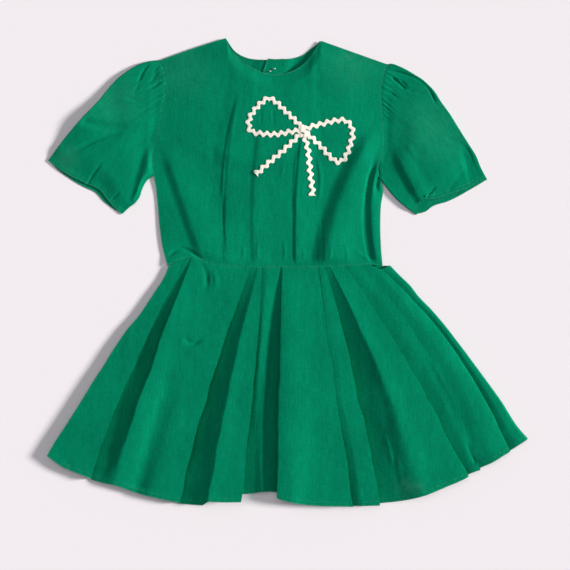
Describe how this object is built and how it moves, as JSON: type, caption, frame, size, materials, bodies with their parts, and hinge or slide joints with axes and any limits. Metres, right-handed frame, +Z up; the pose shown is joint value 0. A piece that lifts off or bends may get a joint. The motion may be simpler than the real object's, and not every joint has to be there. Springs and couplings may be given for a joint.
{
  "type": "swing dress",
  "caption": "Short-sleeved cotton swing dress laid flat: round neck, darted bodice, flared skirt in soft folds, gathered sleeve caps and a bow of zigzag braid.",
  "frame": {"origin": "middle of the laid dress's outline, on the surface that it lies on", "axes": "+Z up from the surface, +Y towards the neck, +X to the right of a person who looks down on the dress"},
  "size_m": [0.6966, 0.677, 0.0204],
  "materials": {
    "cotton": "matt plain-weave cotton, faded along its seams",
    "braid": "soft cream zigzag braid",
    "button": "plain moulded button"
  },
  "bodies": {
    "root": {"bodice_front": "cotton", "bodice_back_left": "cotton", "bodice_back_right": "cotton", "sleeve_left": "cotton", "sleeve_right": "cotton", "skirt_front": "cotton", "skirt_back": "cotton", "braid_loop_left": "braid", "braid_loop_right": "braid", "braid_tail_left": "braid", "braid_tail_right": "braid", "braid_knot": "braid", "button_1": "button", "button_2": "button", "button_3": "button", "button_4": "button"}
  },
  "joints": []
}
